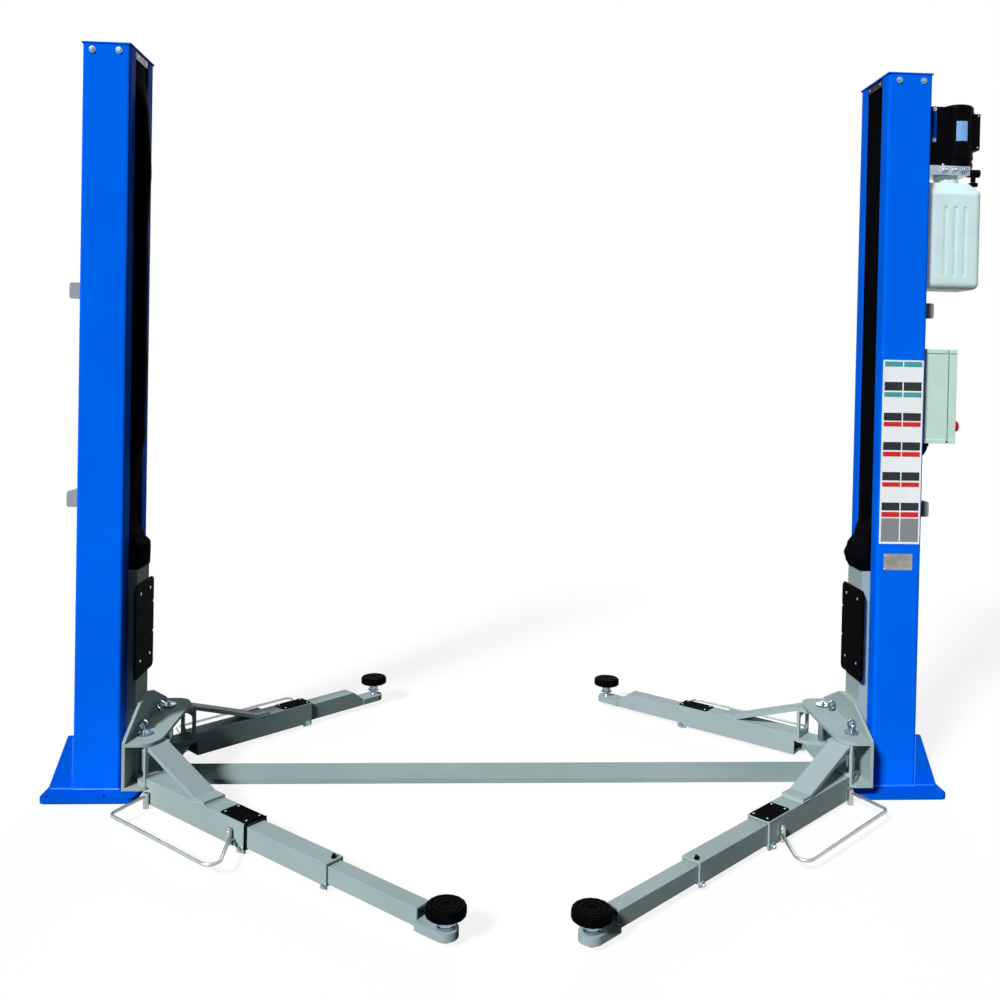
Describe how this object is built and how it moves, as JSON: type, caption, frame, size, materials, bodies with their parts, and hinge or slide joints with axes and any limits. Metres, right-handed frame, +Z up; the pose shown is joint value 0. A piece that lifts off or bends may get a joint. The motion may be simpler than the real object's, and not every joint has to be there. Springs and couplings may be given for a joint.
{
  "type": "two post car lift",
  "caption": "Car lift with facing blue posts, sliding carriages, telescopic swing arms with round rubber pads, a motor pump unit and a control box.",
  "frame": {"origin": "on the floor, midway between the two posts and on the line through the middle of both", "axes": "+X from the left post to the right post, +Y away from the viewer along the car, +Z up"},
  "size_m": [3.591, 2.1934, 2.824],
  "materials": {
    "post_blue": "gloss paint, blue",
    "base_blue": "gloss paint, blue",
    "grey_paint": "satin paint, light grey-green",
    "cover_steel": "satin paint, light grey-green",
    "zinc": "bright zinc plate",
    "chrome_rod": "hard chrome, ground",
    "cylinder_paint": "black paint",
    "black_rubber": "moulded rubber, matt",
    "slide_plastic": "cast nylon",
    "curtain_fabric": "coated woven fabric",
    "motor_black": "black paint",
    "black_plastic": "moulded plastic",
    "pump_aluminium": "cast aluminium",
    "tank_plastic": "translucent polyethylene",
    "box_plastic": "moulded plastic, pale grey-green",
    "red_plastic": "moulded plastic, red"
  },
  "bodies": {
    "frame": {"left_post": "post_blue", "left_post_cap": "post_blue", "left_base_plate": "base_blue", "left_dust_curtain": "curtain_fabric", "right_post": "post_blue", "right_post_cap": "post_blue", "right_base_plate": "base_blue", "right_dust_curtain": "curtain_fabric", "floor_cover": "cover_steel", "lifting_cylinders": "cylinder_paint", "lock_covers": "grey_paint", "power_unit_plate": "motor_black", "motor": "motor_black", "terminal_box": "black_plastic", "pump_block": "pump_aluminium", "lowering_valve": "black_plastic", "oil_tank": "tank_plastic", "control_box": "box_plastic", "control_box_lid": "box_plastic", "emergency_stop": "red_plastic"},
    "left_carriage_set": {"left_carriage": "grey_paint", "left_door_guard": "black_rubber", "left_slide_blocks": "slide_plastic", "left_arm_pins": "zinc"},
    "left_rod_set": {"left_lift_rod": "chrome_rod"},
    "right_carriage_set": {"right_carriage": "grey_paint", "right_door_guard": "black_rubber", "right_slide_blocks": "slide_plastic", "right_arm_pins": "zinc"},
    "right_rod_set": {"right_lift_rod": "chrome_rod"},
    "front_left_outer_arm": {"front_left_arm": "grey_paint", "front_left_grip": "black_rubber", "front_left_foot_guard": "zinc"},
    "front_left_middle_arm": {"front_left_middle_tube": "grey_paint"},
    "front_left_inner_arm": {"front_left_inner_tube": "grey_paint"},
    "front_left_pad_set": {"front_left_pad_screw": "zinc", "front_left_pad": "black_rubber"},
    "front_right_outer_arm": {"front_right_arm": "grey_paint", "front_right_grip": "black_rubber", "front_right_foot_guard": "zinc"},
    "front_right_middle_arm": {"front_right_middle_tube": "grey_paint"},
    "front_right_inner_arm": {"front_right_inner_tube": "grey_paint"},
    "front_right_pad_set": {"front_right_pad_screw": "zinc", "front_right_pad": "black_rubber"},
    "rear_left_outer_arm": {"rear_left_arm": "grey_paint", "rear_left_grip": "black_rubber", "rear_left_foot_guard": "zinc"},
    "rear_left_inner_arm": {"rear_left_inner_tube": "grey_paint"},
    "rear_left_pad_set": {"rear_left_pad_screw": "zinc", "rear_left_pad": "black_rubber"},
    "rear_right_outer_arm": {"rear_right_arm": "grey_paint", "rear_right_grip": "black_rubber", "rear_right_foot_guard": "zinc"},
    "rear_right_inner_arm": {"rear_right_inner_tube": "grey_paint"},
    "rear_right_pad_set": {"rear_right_pad_screw": "zinc", "rear_right_pad": "black_rubber"}
  },
  "joints": [
    {"name": "left_lift", "type": "slide", "parent": "frame", "child": "left_carriage_set", "axis": [0, 0, 1], "range_m": [0, 1.78], "deforming": ["left_dust_curtain"]},
    {"name": "left_rod_lift", "type": "slide", "parent": "frame", "child": "left_rod_set", "axis": [0, 0, 1], "range_m": [0, 0.89]},
    {"name": "right_lift", "type": "slide", "parent": "frame", "child": "right_carriage_set", "axis": [0, 0, 1], "range_m": [0, 1.78], "deforming": ["right_dust_curtain"]},
    {"name": "right_rod_lift", "type": "slide", "parent": "frame", "child": "right_rod_set", "axis": [0, 0, 1], "range_m": [0, 0.89]},
    {"name": "front_left_swing", "type": "hinge", "parent": "left_carriage_set", "child": "front_left_outer_arm", "pos_m": [-1.356, -0.16, 0.148], "axis": [0, 0, -1], "range_deg": [-30.9, 29.1]},
    {"name": "front_left_first_stage", "type": "slide", "parent": "front_left_outer_arm", "child": "front_left_middle_arm", "axis": [0.7559, -0.6547, 0], "range_m": [-0.365, 0.03]},
    {"name": "front_left_second_stage", "type": "slide", "parent": "front_left_middle_arm", "child": "front_left_inner_arm", "axis": [0.7559, -0.6547, 0], "range_m": [-0.37, 0.03]},
    {"name": "front_left_pad_height", "type": "slide", "parent": "front_left_inner_arm", "child": "front_left_pad_set", "axis": [0, 0, 1], "range_m": [0, 0.03]},
    {"name": "front_right_swing", "type": "hinge", "parent": "right_carriage_set", "child": "front_right_outer_arm", "pos_m": [1.356, -0.16, 0.148], "axis": [0, 0, 1], "range_deg": [-31.9, 28.1]},
    {"name": "front_right_first_stage", "type": "slide", "parent": "front_right_outer_arm", "child": "front_right_middle_arm", "axis": [-0.7443, -0.6678, 0], "range_m": [-0.365, 0.03]},
    {"name": "front_right_second_stage", "type": "slide", "parent": "front_right_middle_arm", "child": "front_right_inner_arm", "axis": [-0.7443, -0.6678, 0], "range_m": [-0.37, 0.03]},
    {"name": "front_right_pad_height", "type": "slide", "parent": "front_right_inner_arm", "child": "front_right_pad_set", "axis": [0, 0, 1], "range_m": [0, 0.03]},
    {"name": "rear_left_swing", "type": "hinge", "parent": "left_carriage_set", "child": "rear_left_outer_arm", "pos_m": [-1.356, 0.16, 0.148], "axis": [0, 0, 1], "range_deg": [-33.6, 26.4]},
    {"name": "rear_left_stage", "type": "slide", "parent": "rear_left_outer_arm", "child": "rear_left_inner_arm", "axis": [0.7242, 0.6896, 0], "range_m": [-0.265, 0.05]},
    {"name": "rear_left_pad_height", "type": "slide", "parent": "rear_left_inner_arm", "child": "rear_left_pad_set", "axis": [0, 0, 1], "range_m": [-0.016, 0.014]},
    {"name": "rear_right_swing", "type": "hinge", "parent": "right_carriage_set", "child": "rear_right_outer_arm", "pos_m": [1.356, 0.16, 0.148], "axis": [0, 0, -1], "range_deg": [-30.8, 29.2]},
    {"name": "rear_right_stage", "type": "slide", "parent": "rear_right_outer_arm", "child": "rear_right_inner_arm", "axis": [-0.757, 0.6534, 0], "range_m": [-0.265, 0.05]},
    {"name": "rear_right_pad_height", "type": "slide", "parent": "rear_right_inner_arm", "child": "rear_right_pad_set", "axis": [0, 0, 1], "range_m": [-0.016, 0.014]}
  ],
  "couplings": [
    {"joint": "left_rod_lift", "follows": "left_lift", "ratio": 0.5},
    {"joint": "right_rod_lift", "follows": "left_lift", "ratio": 0.5},
    {"joint": "right_lift", "follows": "left_lift", "ratio": 1}
  ]
}
